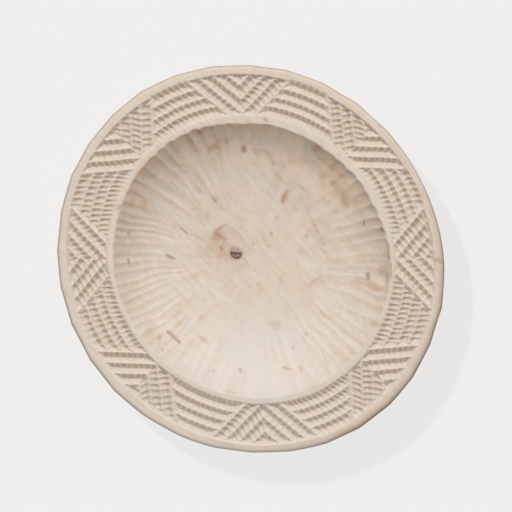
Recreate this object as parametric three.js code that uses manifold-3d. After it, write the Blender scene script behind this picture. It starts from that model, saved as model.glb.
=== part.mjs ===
// Carved wooden plate, in millimetres, +Z up, resting on its flat foot at z = 0.
// It is hollowed and carved out of one billet. The rim is broad and level and carries a carved band:
// eight groups of nested chevrons that point at the bowl, and between them eight fields of grooves
// that follow the rim. The plate was cut round and has shrunk across the grain, so it is now an oval
// that is longer along X, the way the grain runs. Shapes are laid out on the round plate, whose radius
// is the oval's mean radius, and are then drawn to the oval. A dead knot sits loose in the bowl's floor.

import * as THREE from 'three';
import { mergeVertices } from 'three/addons/utils/BufferGeometryUtils.js';
import Module from 'manifold-3d';

const wasm = await Module();
wasm.setup();
const { Manifold, Mesh: ManifoldMesh } = wasm;
const degrees = THREE.MathUtils.degToRad;

// The whole plate
const plateLength = 330;
const plateWidth = 310;
const plateHeight = 46;

// Rim, from its outer edge inward
const rimThickness = 11.5;
const edgeRounding = 4;
const fullestRounding = 0.45;
const outerBorderWidth = 7.2;
const outerBorderFall = 0.4;
const carvedBandWidth = 33.6;
const innerBorderWidth = 5.6;
const rimFlats = 32;
const firstFlatCorner = degrees(1.25);

// Hollow and underside
const bowlDepth = 32;
const bowlSteepness = 4;
const footRadius = 83;
const undersideFullness = 2.2;

// Gouge flutes that run down the wall of the bowl and die out toward its floor
const fluteCount = 64;
const fluteDepth = 0.8;
const fluteFadeRadius = 62;

// Carving of the band: V-shaped grooves with sharp crests between them
const grooveDepth = 3;
const crestDrop = 0.25;
const rowsPerField = 4;
const chevronGroups = 8;
const chevronsPerGroup = 4;
const chevronPitch = 8.6;
const chevronHalfAngle = degrees(48);
const firstChevronAngle = degrees(4.55);
const grooveEndSlope = Math.tan(degrees(50));

// Dead knot, an oval peg of dark wood that narrows downward
const knotLength = 10.6;
const knotWidth = 9.2;
const knotDepth = 8.5;
const knotTaper = 0.72;
const knotSunk = 0.3;
const knotGap = 0.3;
const knotX = -12.2;
const knotY = -5.3;

// How finely curves are divided
const bandSegments = 96;
const knotSegments = 20;
const edgeSteps = 3;
const undersideSteps = 7;
const bowlSteps = 8;
const fluteSegments = 2;

// Cutting tools stand this far proud of the wood, so that they cut clean through its surface
const proud = 1.5;

// Worked-out sizes
const meanRadius = (plateLength + plateWidth) / 4;
const bandOuterRadius = meanRadius - outerBorderWidth;
const bandInnerRadius = bandOuterRadius - carvedBandWidth;
const bowlRadius = bandInnerRadius - innerBorderWidth;
const bowlFloor = plateHeight - bowlDepth;
const rowPitch = carvedBandWidth / rowsPerField;
const wallSlope = (grooveDepth - crestDrop) / (rowPitch / 2);
const cutTop = plateHeight + proud;
const cutBottom = plateHeight - grooveDepth - proud;
const axisPitch = chevronPitch / Math.sin(chevronHalfAngle);
const groupEdge = bandInnerRadius - axisPitch;

/** Moves every vertex of a geometry by a rule that edits the point in place. */
function warp(geometry, rule) {
  const places = geometry.attributes.position;
  const point = new THREE.Vector3();
  for (let i = 0; i < places.count; i += 1) {
    rule(point.fromBufferAttribute(places, i));
    places.setXYZ(i, point.x, point.y, point.z);
  }
  return geometry;
}

/** Draws a shape laid out on the round plate to the plate's oval. */
function drawToOval(geometry) {
  return geometry.scale(plateLength / 2 / meanRadius, plateWidth / 2 / meanRadius, 1);
}

/** Turns a profile of [radius, height] pairs about Z. The profile runs up the outside and in at the top. */
function turned(profile, segments) {
  const line = profile.map(([radius, height]) => new THREE.Vector2(radius, height));
  const geometry = new THREE.LatheGeometry(line, segments);
  return geometry.rotateX(Math.PI / 2).rotateZ(Math.PI / 2);
}

/** Makes a closed geometry into a solid that can be joined and cut. */
function solid(geometry) {
  const bare = new THREE.BufferGeometry();
  bare.setAttribute('position', geometry.attributes.position);
  bare.setIndex(geometry.index);
  const merged = mergeVertices(bare, 1e-4);
  const corners = merged.index.array;
  const kept = [];
  for (let i = 0; i < corners.length; i += 3) {
    const [a, b, c] = [corners[i], corners[i + 1], corners[i + 2]];
    if (a !== b && b !== c && c !== a) kept.push(a, b, c);
  }
  return new Manifold(new ManifoldMesh({
    numProp: 3,
    vertProperties: Float32Array.from(merged.attributes.position.array),
    triVerts: Uint32Array.from(kept),
  }));
}

/** Gives a finished solid back as a named mesh of its own material. */
function namedMesh(name, shape, colour, roughness) {
  const { vertProperties, triVerts, numProp } = shape.getMesh();
  const geometry = new THREE.BufferGeometry();
  const places = new THREE.InterleavedBuffer(vertProperties, numProp);
  geometry.setAttribute('position', new THREE.InterleavedBufferAttribute(places, 3, 0));
  geometry.setIndex(Array.from(triVerts));
  const look = { color: colour, roughness, metalness: 0, flatShading: true };
  const material = new THREE.MeshStandardMaterial(look);
  const mesh = new THREE.Mesh(geometry, material);
  mesh.name = name;
  return mesh;
}

/** Points on a quarter round from angle `from` to angle `to`, about [radius, height]. */
function roundCorner(radius, height, rounding, from, to) {
  const points = [];
  for (let i = 0; i <= edgeSteps; i += 1) {
    const angle = THREE.MathUtils.lerp(from, to, i / edgeSteps);
    points.push([radius + rounding * Math.cos(angle), height + rounding * Math.sin(angle)]);
  }
  return points;
}

/** The billet cut to its outside: level rim, rounded edge with short flats, full underside, flat foot. */
function roundedBlank() {
  const edgeTop = plateHeight - outerBorderFall;
  const edgeBottom = plateHeight - rimThickness;
  const rounding = Math.min(edgeRounding, (edgeTop - edgeBottom) * fullestRounding);
  const roundCentre = meanRadius - rounding;
  const underside = [];
  for (let i = 0; i < undersideSteps; i += 1) {
    const way = i / undersideSteps;
    const rise = 1 - (1 - way) ** undersideFullness;
    underside.push([THREE.MathUtils.lerp(footRadius, roundCentre, way), edgeBottom * rise]);
  }
  const profile = [
    [0, 0],
    ...underside,
    ...roundCorner(roundCentre, edgeBottom + rounding, rounding, -Math.PI / 2, 0),
    ...roundCorner(roundCentre, edgeTop - rounding, rounding, 0, Math.PI / 2),
    [bandOuterRadius, plateHeight],
    [0, plateHeight],
  ];
  const flat = Math.PI / rimFlats;
  const blank = turned(profile, rimFlats * 2);
  warp(blank, (point) => {
    const radius = Math.hypot(point.x, point.y);
    const flatness = THREE.MathUtils.smoothstep(radius, footRadius, roundCentre);
    const offCorner = Math.abs(Math.atan2(point.y, point.x)) % (2 * flat);
    const chord = Math.cos(flat) / Math.cos(flat - offCorner);
    const scale = THREE.MathUtils.lerp(1, chord, flatness);
    point.x *= scale;
    point.y *= scale;
  });
  return solid(drawToOval(blank.rotateZ(firstFlatCorner)));
}

/** The hollow of the bowl: its wall steepens toward the lip and is scalloped by radial gouge flutes. */
function bowlHollow() {
  const lipRadius = bowlRadius * ((bowlDepth + proud) / bowlDepth) ** (1 / bowlSteepness);
  const profile = [[0, bowlFloor]];
  for (let i = 1; i <= bowlSteps; i += 1) {
    const radius = lipRadius * Math.sqrt(i / bowlSteps);
    profile.push([radius, bowlFloor + bowlDepth * (radius / bowlRadius) ** bowlSteepness]);
  }
  profile.push([0, profile.at(-1)[1]]);
  const hollow = turned(profile, fluteCount * fluteSegments);
  warp(hollow, (point) => {
    const radius = Math.hypot(point.x, point.y);
    if (radius < fluteFadeRadius) return;
    const angle = Math.atan2(point.y, point.x);
    const scoop = (1 - Math.cos(angle * fluteCount)) / 2;
    const depth = fluteDepth * scoop * THREE.MathUtils.smoothstep(radius, fluteFadeRadius, bowlRadius);
    const slope = bowlDepth * bowlSteepness / bowlRadius * (radius / bowlRadius) ** (bowlSteepness - 1);
    const lean = Math.atan(slope);
    const scale = 1 + depth * Math.sin(lean) / radius;
    point.x *= scale;
    point.y *= scale;
    point.z -= depth * Math.cos(lean);
  });
  return solid(drawToOval(hollow));
}

/** The V of a groove as [across, height] points, its bottom at across = 0. */
function grooveSection(halfPitch) {
  const slope = (grooveDepth - crestDrop) / halfPitch;
  const halfWidth = (grooveDepth + proud) / slope;
  return [[0, plateHeight - grooveDepth], [halfWidth, cutTop], [-halfWidth, cutTop]];
}

/** A groove that follows the whole rim at one radius. */
function rowRing(radius) {
  const section = grooveSection(rowPitch / 2).map(([across, height]) => [radius + across, height]);
  return solid(drawToOval(turned([...section, section[0]], bandSegments)));
}

/**
 * A bar of one section, given as [across, height] points, bent at its middle into a chevron.
 * `reach` is where its across = 0 line crosses the group's middle line, as a radius.
 */
function bentBar(section, reach, groupAngle) {
  const stretch = 1 / Math.sin(chevronHalfAngle);
  const outline = new THREE.Shape(section.map(([across, height]) => new THREE.Vector2(across, height)));
  const halfLength = (bandOuterRadius + proud - groupEdge) * Math.tan(chevronHalfAngle);
  const bar = new THREE.ExtrudeGeometry(outline, { depth: 2 * halfLength, steps: 2, bevelEnabled: false });
  warp(bar, (point) => {
    const along = point.z - halfLength;
    const outward = reach + point.x * stretch + Math.abs(along) / Math.tan(chevronHalfAngle);
    point.set(along, outward, point.y);
  });
  return solid(drawToOval(bar.rotateZ(groupAngle - Math.PI / 2)));
}

/** The space between the two plain borders, its sides sloped, which the chevrons' ends run out at. */
function bandSpace() {
  const runIn = (height) => (plateHeight - height) / grooveEndSlope;
  const profile = [
    [bandOuterRadius - runIn(cutBottom), cutBottom],
    [bandOuterRadius - runIn(cutTop), cutTop],
    [bandInnerRadius + runIn(cutTop), cutTop],
    [bandInnerRadius + runIn(cutBottom), cutBottom],
  ];
  return solid(drawToOval(turned([...profile, profile[0]], bandSegments)));
}

/** All that is carved out of the band: nested chevrons, and the rows of the fields between them. */
function carving() {
  const lean = (height) => (height - plateHeight + crestDrop) / wallSlope;
  const groupTop = cutTop + proud;
  const groupSection = [
    [lean(cutBottom), cutBottom],
    [meanRadius, cutBottom],
    [meanRadius, groupTop],
    [lean(groupTop), groupTop],
  ];
  const chevrons = [];
  const groups = [];
  for (let g = 0; g < chevronGroups; g += 1) {
    const angle = firstChevronAngle + g * 2 * Math.PI / chevronGroups;
    groups.push(bentBar(groupSection, groupEdge, angle));
    for (let c = 0; c < chevronsPerGroup; c += 1) {
      chevrons.push(bentBar(grooveSection(chevronPitch / 2), groupEdge + (c + 0.5) * axisPitch, angle));
    }
  }
  const rows = [];
  for (let r = 0; r < rowsPerField; r += 1) {
    rows.push(rowRing(bandInnerRadius + (r + 0.5) * rowPitch));
  }
  const fields = Manifold.union(rows).subtract(Manifold.union(groups));
  return Manifold.union(chevrons).intersect(bandSpace()).add(fields);
}

/**
 * An oval peg, long along the grain, that widens upward. The socket is the same peg, `gap` larger
 * all round and taller by `extraTop`.
 */
function knotPeg(extraTop, gap) {
  const bottom = bowlFloor - knotDepth;
  const height = knotDepth - knotSunk;
  const half = (rise) => (knotTaper + (1 - knotTaper) * rise / height) / 2;
  const profile = [
    [0, bottom - gap],
    [half(-gap), bottom - gap],
    [half(height + extraTop), bottom + height + extraTop],
    [0, bottom + height + extraTop],
  ];
  const wider = 2 * gap / knotTaper;
  const peg = turned(profile, knotSegments).scale(knotLength + wider, knotWidth + wider, 1);
  return solid(peg.translate(knotX, knotY, 0));
}

/** The billet with its hollow, its carving and the socket of the knot. */
function plateBody() {
  const socket = knotPeg(knotSunk + proud, knotGap);
  const wood = roundedBlank().subtract(bowlHollow()).subtract(carving()).subtract(socket);
  return namedMesh('plate_body', wood, 0xdccdba, 0.72);
}

/** The dead knot, sunk a little below the floor of the bowl. */
function deadKnot() {
  return namedMesh('dead_knot', knotPeg(0, 0), 0x5c4433, 0.85);
}

const plate = new THREE.Group();
plate.add(plateBody());
plate.add(deadKnot());

export default plate;
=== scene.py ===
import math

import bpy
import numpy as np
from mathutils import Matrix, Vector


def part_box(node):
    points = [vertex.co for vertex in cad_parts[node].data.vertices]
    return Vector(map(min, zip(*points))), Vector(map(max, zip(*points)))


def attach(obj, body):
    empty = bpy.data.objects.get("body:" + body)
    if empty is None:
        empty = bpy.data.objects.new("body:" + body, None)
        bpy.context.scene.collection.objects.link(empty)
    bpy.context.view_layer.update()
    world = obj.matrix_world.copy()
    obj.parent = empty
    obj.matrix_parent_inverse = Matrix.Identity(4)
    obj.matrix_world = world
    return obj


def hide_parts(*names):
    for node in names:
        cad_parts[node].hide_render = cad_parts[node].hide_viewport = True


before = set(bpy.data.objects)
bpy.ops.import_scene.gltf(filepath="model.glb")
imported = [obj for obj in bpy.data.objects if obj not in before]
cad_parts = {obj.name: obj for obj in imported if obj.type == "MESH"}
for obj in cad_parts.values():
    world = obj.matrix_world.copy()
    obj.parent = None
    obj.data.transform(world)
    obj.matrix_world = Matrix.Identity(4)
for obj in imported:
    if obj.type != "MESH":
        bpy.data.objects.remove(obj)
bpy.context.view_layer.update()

# A carved wooden plate, seen from straight above. Lengths are in millimetres until a mesh is made.
# Shapes are worked out on the round plate that was carved, by radius and angle about its middle, and
# are then drawn to the oval that the drying wood has shrunk to.

MM = 0.001
TURN = 2 * math.pi

# The picture's right and up as directions on the plate, and its top as an angle in degrees
RIGHT_X, RIGHT_Y = 0.675, 0.738
UP_X, UP_Y = -RIGHT_Y, RIGHT_X
PICTURE_TOP = 137.55

# The plate's outside, from its solid
body_low, body_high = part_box("plate_body")
HALF_LENGTH = (body_high[0] - body_low[0]) / 2 / MM
HALF_WIDTH = (body_high[1] - body_low[1]) / 2 / MM
RIM_TOP = body_high[2] / MM
MEAN_RADIUS = (HALF_LENGTH + HALF_WIDTH) / 2

# Rim, from its outer edge inward
RIM_THICKNESS = 11.5
EDGE_ROUNDING = 4
OUTER_BORDER = 7.2
OUTER_FALL = 0.4
CARVED_BAND = 33.6
INNER_BORDER = 5.6
RIM_FLATS = 32
FIRST_FLAT_CORNER = math.radians(1.25)
BAND_OUTER = MEAN_RADIUS - OUTER_BORDER
BAND_INNER = BAND_OUTER - CARVED_BAND
ROUND_CENTRE = MEAN_RADIUS - EDGE_ROUNDING

# What a smoothing by hand leaves on rim and bowl: depth, size and seed of each set of soft waves
RIM_WAVES = ((0.13, 23, 31), (0.045, 8, 32))
BOWL_WAVES = ((0.1, 7, 56), (0.16, 26, 57))

# Bowl and underside
BOWL_DEPTH = 32
BOWL_STEEPNESS = 4
BOWL_RADIUS = BAND_INNER - INNER_BORDER
BOWL_FLOOR = RIM_TOP - BOWL_DEPTH
LIP_WEAR = 0.16
FOOT_RADIUS = 83
UNDERSIDE_FULLNESS = 2.2
ADZE_MARKS = 52
ADZE_DEPTH = 0.5

# Where the body is divided into the meshes that show it, the columns of points round each, and the
# places inside the cut between two of them
RIM_SEAM = 116
FLOOR_SEAM = 70
RIM_QUARTERS = 4
RIM_QUARTER_COLUMNS = 576
BOWL_COLUMNS = 768
KNOT_COLUMNS = 128
CUT_STEPS = np.linspace(0, 1, 5)[1:-1]

# Carving of the band
GROOVE_DEPTH = 3
CREST_DROP = 0.25
ROWS = 4
ROW_PITCH = CARVED_BAND / ROWS
CHEVRON_GROUPS = 8
GROUP_SPACING = TURN / CHEVRON_GROUPS
CHEVRONS = 4
CHEVRON_PITCH = 8.6
CHEVRON_HALF_ANGLE = math.radians(48)
HALF_SIN, HALF_COS = math.sin(CHEVRON_HALF_ANGLE), math.cos(CHEVRON_HALF_ANGLE)
FIRST_CHEVRON = math.radians(4.55)
AXIS_PITCH = CHEVRON_PITCH / HALF_SIN
GROUP_EDGE = BAND_INNER - AXIS_PITCH
WALL_SLOPE = (GROOVE_DEPTH - CREST_DROP) / (ROW_PITCH / 2)
RUN_OUT_SLOPE = math.tan(math.radians(42))
RUN_OUT_MARGIN = 0.3
RIDGE_SLOPE = 0.57
GROOVE_WAVER = 0.2
GROOVE_WAVER_LENGTH = 11
GROOVE_VARIETY = (0.94, 1.05)
FIRST_ROW_KEY = 80

# Chips along the grooves: their lengths from row to row, and how they are cut and lie
ROW_CHIPS = (4.5, 4.75, 5, 5.3)
CHEVRON_CHIPS = 5
CHIP_DEPTH = 1.22
CREST_CUT = 0.32
CHIP_VARIETY = (0.75, 1.15)
CHIP_LENGTH_VARIETY = (0.94, 1.06)
CHIP_STAGGER = 0.3
STAGGER_DIRECTION = 18
CHIP_WAVER = 0.14
MOST_LEAN = 0.45
LEAN_SPREAD = 0.15

# How far each group of chevrons is off its even place, and leans, in degrees, and how far it and the
# rows by picture direction lie outside their even place
GROUP_SHIFT = np.radians([0.7, 0.2, 0, -0.5, 0.1, -0.5, 0.75, 0.9])
GROUP_LEAN = np.radians([1.1, 0, 0.7, 2.3, 1.5, 1.1, 0, 0])
GROUP_REACH = np.array([1, 1.8, 0.9, 1.4, 0, 0, 0.6, -1.1])
ROW_DIRECTIONS = (21, 66, 111, 156, 200, 246, 290, 336)
ROW_REACH = (0.9, 0.75, -0.2, 0.35, -0.35, -0.1, -0.3, 0.1)

# Knot
knot_low, knot_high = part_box("dead_knot")
KNOT_X = (knot_low[0] + knot_high[0]) / 2 / MM
KNOT_Y = (knot_low[1] + knot_high[1]) / 2 / MM
KNOT_HALF_LENGTH = (knot_high[0] - knot_low[0]) / 2 / MM
KNOT_HALF_WIDTH = (knot_high[1] - knot_low[1]) / 2 / MM
KNOT_TOP = knot_high[2] / MM
KNOT_BOTTOM = knot_low[2] / MM
KNOT_TAPER = 0.72
KNOT_GAP = 0.03

# How far each corner of the rim's outline lies outside its circle, and how far each flat between two
# corners lies inside the line that joins them, round from the corner next to the long axis
CORNER_REACH = np.array([
    1.3, 1.2, 0.9, 1.3, 0.6, 0.2, -0.3, -0.2, 0.3, 1.1, 1.2, 1.3, 0.6, 0.9, 1, 1.3,
    0.6, 0.3, 0.4, 0, 0.4, 0.9, 1.3, 1.5, 1.7, 1, 0.6, 0.1, -0.6, -0.2, 0.8, 1.2,
])
FLAT_HOLLOW = np.array([
    0.45, 0.6, 1, 0.45, 0, 0.1, 0.15, 0.2, 0.9, 1, 0.65, 0.8, 0.75, 0.7, 0.55, 0.7,
    0.7, 0.75, 0.5, 0.8, 0.45, 0.8, 0.85, 0.75, 0.4, 0.45, 0.1, 0.6, 0.6, 0.3, 0.6, 0.7,
])

# The bowl's lip and its gouge flutes by picture direction: how far the lip lies outside its circle,
# how many flutes have been counted from the picture's top, and how deep and how far in they run
LIP_DIRECTIONS = (0, 10, 20, 45, 52, 62, 72, 80, 97, 112, 140, 260, 275, 295, 305, 318, 328, 345, 360)
LIP_REACH = (-1.9, -0.5, -1, -1, 0.2, -0.8, 0, 1.6, 2.1, 0.8, 0, 0, -0.5, -1.1, 0, -0.4, 0, -0.9, -1.9)
FLUTE_DIRECTIONS = (0, 45, 115, 200, 235, 290, 345, 360)
FLUTE_COUNTS = (0, 8, 20, 37, 45, 59, 69, 72)
FLUTES = FLUTE_COUNTS[-1]
FLUTE_DEPTH_DIRECTIONS = (0, 25, 50, 75, 110, 150, 200, 232, 250, 285, 300, 335, 350, 360)
FLUTE_DEPTHS = (0.35, 0.35, 0.4, 0.65, 0.55, 0.45, 0.4, 0.75, 0.95, 0.75, 1.05, 1.2, 0.55, 0.35)
FLUTE_END_DIRECTIONS = (0, 45, 110, 150, 200, 235, 285, 300, 335, 360)
FLUTE_ENDS = (70, 62, 55, 60, 55, 50, 54, 78, 82, 70)
FLUTE_RUN_IN = 26
FLUTE_VARIETY = (0.55, 1.15)
FLUTE_SWAY = 0.026
FLUTE_WAVER = 0.3
LOWER_FLUTE_START = 97
LOWER_FLUTE_DEPTH = 1.1
LOWER_FLUTE_VARIETY = (0.35, 1.15)
LOWER_FLUTE_SHARE = 0.8

# The parts of the bowl where the flutes swirl, notch the lip, and lie in two sets: strength or turn,
# direction, reach
SWIRLING = (math.radians(7), 292, 70)
LIP_NOTCHES = (0.65, 60, 36)
LOWER_SET = (1, 318, 34)

random_values = np.random.default_rng(41).uniform(size=4099)


# Numbers over the plate

def smooth(start, end, value):
    """0 up to start, 1 from end on, and a cubic ease between them."""
    share = np.clip((value - start) / (end - start), 0, 1)
    return share * share * (3 - 2 * share)


def mixed(first, second, share):
    """The straight way from one value to another: the first where the share is 0, the second at 1."""
    return first * (1 - share) + second * share


def between(value, start, whole, waning, end):
    """A share that rises from start to whole, stays 1, and falls again from waning to end."""
    return smooth(start, whole, value) * (1 - smooth(waning, end, value))


def arch(place):
    """A parabola over each whole step of `place`: 0 at both its ends and 1 in its middle."""
    across = place - np.floor(place)
    return 4 * across * (1 - across)


def pick(number, seed, least, most):
    """One random value between least and most for each whole number, the same each time."""
    place = (np.asarray(number).astype(np.int64) * 29 + seed * 577) % len(random_values)
    return least + (most - least) * random_values[place]


def wander(place, seed, around=None):
    """A smooth random line: a random value from -1 to 1 at each whole number, eased from one to the
    next. With `around`, it repeats after that many."""
    whole = np.floor(place)
    ease = smooth(0, 1, place - whole)
    after = whole + 1
    if around:
        whole, after = whole % around, after % around
    return mixed(pick(whole, seed, -1, 1), pick(after, seed, -1, 1), ease)


def patches(x, y, size, seed, around=None):
    """A smooth random field: random values from -1 to 1 at the corners of squares `size` wide, eased
    across each square. With `around`, it repeats after that many squares along x."""
    column, row = np.floor(x / size), np.floor(y / size)
    ease_x, ease_y = smooth(0, 1, x / size - column), smooth(0, 1, y / size - row)
    after = column + 1
    if around:
        column, after = column % around, after % around

    lower, upper = (
        mixed(*(pick(at * 61 + (row + up) * 1013, seed, -1, 1) for at in (column, after)), ease_x)
        for up in (0, 1)
    )
    return mixed(lower, upper, ease_y)


def along_radii(radius, angle, count, length, seed):
    """A smooth random field of streaks that run outward: `count` of them around, each broken into
    pieces `length` long."""
    return patches(angle / TURN * count * length, radius, length, seed, count)


def flat_place(radius, angle):
    """The x and y of a place given by its radius and angle."""
    return radius * np.cos(angle), radius * np.sin(angle)


def drawn_to_oval(x, y):
    """A place on the round plate, moved to where it is on the oval plate."""
    return x * HALF_LENGTH / MEAN_RADIUS, y * HALF_WIDTH / MEAN_RADIUS


def clock(angle):
    """The angle in degrees clockwise from the picture's top, for what is said of the picture's sides."""
    return (PICTURE_TOP - np.degrees(angle)) % 360


def near(angle, middle, reach):
    """1 at a picture direction in degrees, easing to 0 at `reach` degrees to either side."""
    away = np.abs((clock(angle) - middle + 180) % 360 - 180)
    return 1 - smooth(0, reach, away)


def by_direction(angle, *parts):
    """The sum of parts that each ease away from a picture direction: strength, direction, reach."""
    return sum(strength * near(angle, direction, reach) for strength, direction, reach in parts)


def waves(x, y, sets):
    """How deep soft waves lie, from sets of depth, size and seed. A wave is 0 to twice its depth."""
    return sum(depth * (1 + patches(x, y, size, seed)) for depth, size, seed in sets)


# Heights of the carved top

def upright(crosswise):
    """How nearly a groove runs up and down the picture, from 0 to 1: the squared sine of the picture
    direction straight across it, measured from the one where chips are most staggered."""
    return np.sin(np.radians(crosswise - STAGGER_DIRECTION)) ** 2


def groove(across, along, key, half_width, chip_length, crosswise, lean):
    """A carving: the depth of a V-groove, and how near the middle of a chip each place is. The depth
    is that of the shallower of its two walls, each cut back by chips laid side by side. A chip is half
    a sine from one ridge to the next, and deepens from the crest to the bottom. `crosswise` is the
    picture direction straight across the groove, and `lean` is how far a chip shifts along it for each
    step across. Grooves that run up and down the picture have bolder chips, and those that run across
    it have the chips of their two walls staggered."""
    across = across + GROOVE_WAVER * wander(along / GROOVE_WAVER_LENGTH + key * 5, 3)
    bottom = (CREST_DROP + RIDGE_SLOPE * half_width) * pick(key, 4, *GROOVE_VARIETY)
    run = upright(crosswise)
    place = (along + across * lean) / (chip_length * pick(key, 6, *CHIP_LENGTH_VARIETY))
    place = place + pick(key, 7, 0, 1)
    place = place + CHIP_WAVER * wander(place + key * 7, 8)
    up_wall = np.clip(np.abs(across) / half_width, 0, 1) ** (1 + 1.3 * run)
    hollow = CHIP_DEPTH * (0.7 + 0.65 * run) * (1 - (1 - CREST_CUT) * up_wall)
    walls, beads = [], []
    for side in (1, -1):
        step = place + side * CHIP_STAGGER / 2 * (1 - run)
        chip = np.floor(step)
        rounded = np.sin(np.pi * (step - chip))
        cut = hollow * rounded * pick(chip + key * 53, 12 + side, *CHIP_VARIETY)
        walls.append(bottom + side * RIDGE_SLOPE * across + cut)
        beads.append(rounded)
    first = walls[0] < walls[1]
    return np.where(first, walls[0], walls[1]), np.where(first, beads[0], beads[1])


def deeper(first, second):
    """The deeper of two carvings at each place."""
    second_wins = second[0] > first[0]
    return tuple(np.where(second_wins, theirs, ours) for ours, theirs in zip(first, second))


def uncarved(radius):
    """A carving to start from, which every groove is deeper than."""
    return np.full(radius.shape, -1.0), np.zeros(radius.shape)


def from_group(radius, angle):
    """The nearest group of chevrons: its number, the angle of its even place, and how far each place
    lies to the side of the group's own axis and out along it."""
    nearest = np.round((angle - FIRST_CHEVRON) / GROUP_SPACING)
    group = (nearest % CHEVRON_GROUPS).astype(int)
    turn = angle - FIRST_CHEVRON - nearest * GROUP_SPACING - GROUP_SHIFT[group]
    sideways, outward = radius * np.sin(turn), radius * np.cos(turn) - BAND_INNER
    lean_sin, lean_cos = np.sin(GROUP_LEAN[group]), np.cos(GROUP_LEAN[group])
    aside = sideways * lean_cos - outward * lean_sin
    outward = outward * lean_cos + sideways * lean_sin + BAND_INNER - GROUP_REACH[group]
    return group, FIRST_CHEVRON + nearest * GROUP_SPACING, aside, outward


def chevron_grooves(radius, group, axis, aside, outward):
    """Four grooves mitred on the group's axis, each at the same angle to it on both its sides. They
    run out in a slope at the borders."""
    crosswise = clock(axis) + np.sign(aside) * (90 - np.degrees(CHEVRON_HALF_ANGLE))
    arm = np.abs(aside)
    carving = uncarved(radius)
    for number in range(CHEVRONS):
        valley = GROUP_EDGE + (number + 0.5) * AXIS_PITCH
        across = (outward - valley) * HALF_SIN - arm * HALF_COS
        along = (outward - valley) * HALF_COS + arm * HALF_SIN
        key = (group * CHEVRONS + number) * 2 + (aside > 0)
        lean = pick(key, 5, -MOST_LEAN, MOST_LEAN)
        cut = groove(across, along, key, CHEVRON_PITCH / 2, CHEVRON_CHIPS, crosswise, lean)
        carving = deeper(carving, cut)
    from_border = np.minimum(BAND_OUTER + RUN_OUT_MARGIN - radius, radius - BAND_INNER + RUN_OUT_MARGIN)
    return np.minimum(carving[0], from_border * RUN_OUT_SLOPE), carving[1]


def row_grooves(radius, angle, off_group):
    """Four grooves that follow the rim between two groups, with chips that lie level in the picture
    where the rows run up and down it. Their ends rise to the ridge that bounds the group."""
    direction = clock(angle)
    field = np.floor((angle - FIRST_CHEVRON) / GROUP_SPACING) % CHEVRON_GROUPS
    reach = np.interp(direction, ROW_DIRECTIONS, ROW_REACH, period=360)
    level = np.clip(np.tan(np.radians(90 - direction)), -MOST_LEAN, MOST_LEAN) * upright(direction)
    carving = uncarved(radius)
    for number, chips in enumerate(ROW_CHIPS):
        valley = BAND_INNER + (number + 0.5) * ROW_PITCH
        key = FIRST_ROW_KEY + field * ROWS + number
        across = radius - valley - reach
        lean = level + pick(key, 5, -LEAN_SPREAD, LEAN_SPREAD)
        cut = groove(across, angle * valley, key, ROW_PITCH / 2, chips, direction, lean)
        carving = deeper(carving, cut)
    return np.minimum(carving[0], CREST_DROP + WALL_SLOPE * off_group), carving[1]


def carved_depth(radius, angle):
    """The band's whole carving: the deeper of the groups' chevrons and the rows between them."""
    group, axis, aside, outward = from_group(radius, angle)
    off_group = np.abs(aside) * HALF_COS - (outward - GROUP_EDGE) * HALF_SIN
    chevrons = chevron_grooves(radius, group, axis, aside, outward)
    depth, beads = deeper(chevrons, row_grooves(radius, angle, off_group))
    return np.maximum(depth, 0), beads


def rim_height(radius, angle):
    """Height of the rim's top without its carving: level, and falling a little at the outer border."""
    fall = OUTER_FALL * np.clip((radius - BAND_OUTER) / (ROUND_CENTRE - BAND_OUTER), 0, 1)
    return RIM_TOP - fall - waves(*flat_place(radius, angle), RIM_WAVES)


def bowl_height(radius, angle):
    """Height of the bowl: a floor whose wall steepens as the fourth power of the radius, cut deeper by
    gouge flutes that run in from the lip, which they notch on the picture's upper right. On its upper
    left a second set lies below the first. A flute is a parabola between its two crests."""
    direction = clock(angle)
    x, y = flat_place(radius, angle)
    lip_reach = np.interp(direction, LIP_DIRECTIONS, LIP_REACH)
    share = (radius - lip_reach * smooth(75, 113, radius)) / BOWL_RADIUS
    wall = BOWL_FLOOR + BOWL_DEPTH * share ** BOWL_STEEPNESS
    steepness = BOWL_DEPTH * BOWL_STEEPNESS / BOWL_RADIUS * share ** (BOWL_STEEPNESS - 1)
    stretch = np.sqrt(1 + steepness ** 2)

    swirl = by_direction(angle, SWIRLING) * (1 - share) + FLUTE_SWAY * patches(x, y, 22, 50)
    count = np.interp(clock(angle + swirl), FLUTE_DIRECTIONS, FLUTE_COUNTS)
    place = count + FLUTE_WAVER * wander(count * 31 / FLUTES, 51, 31)
    flute = np.floor(place) % FLUTES
    depth = np.interp(direction, FLUTE_DEPTH_DIRECTIONS, FLUTE_DEPTHS) * pick(flute, 52, *FLUTE_VARIETY)
    end = np.interp(direction, FLUTE_END_DIRECTIONS, FLUTE_ENDS) + pick(flute, 58, -12, 10)
    depth = depth * np.clip(share, 0, 1.05) ** 1.2 * smooth(end, end + FLUTE_RUN_IN, radius)
    depth = depth + by_direction(angle, LIP_NOTCHES) * smooth(101, 112, radius)
    long = depth * arch(place)

    waver = 2 * FLUTE_WAVER * wander(count * 19 / FLUTES, 53, 19) + FLUTE_WAVER * patches(x, y, 13, 59)
    place = count * LOWER_FLUTE_SHARE + waver
    flute = np.floor(place)
    start = LOWER_FLUTE_START + pick(flute, 54, -11, 7)
    lower = LOWER_FLUTE_DEPTH * pick(flute, 55, *LOWER_FLUTE_VARIETY) * (arch(place) - 0.3)
    lower = lower * between(radius, 55, 84, start - 3, start) * by_direction(angle, LOWER_SET)
    hand = waves(x / 4, y, BOWL_WAVES[:1]) + waves(x, y, BOWL_WAVES[1:])
    return wall - np.maximum(long, lower) * stretch - hand - dents(x, y)


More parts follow.
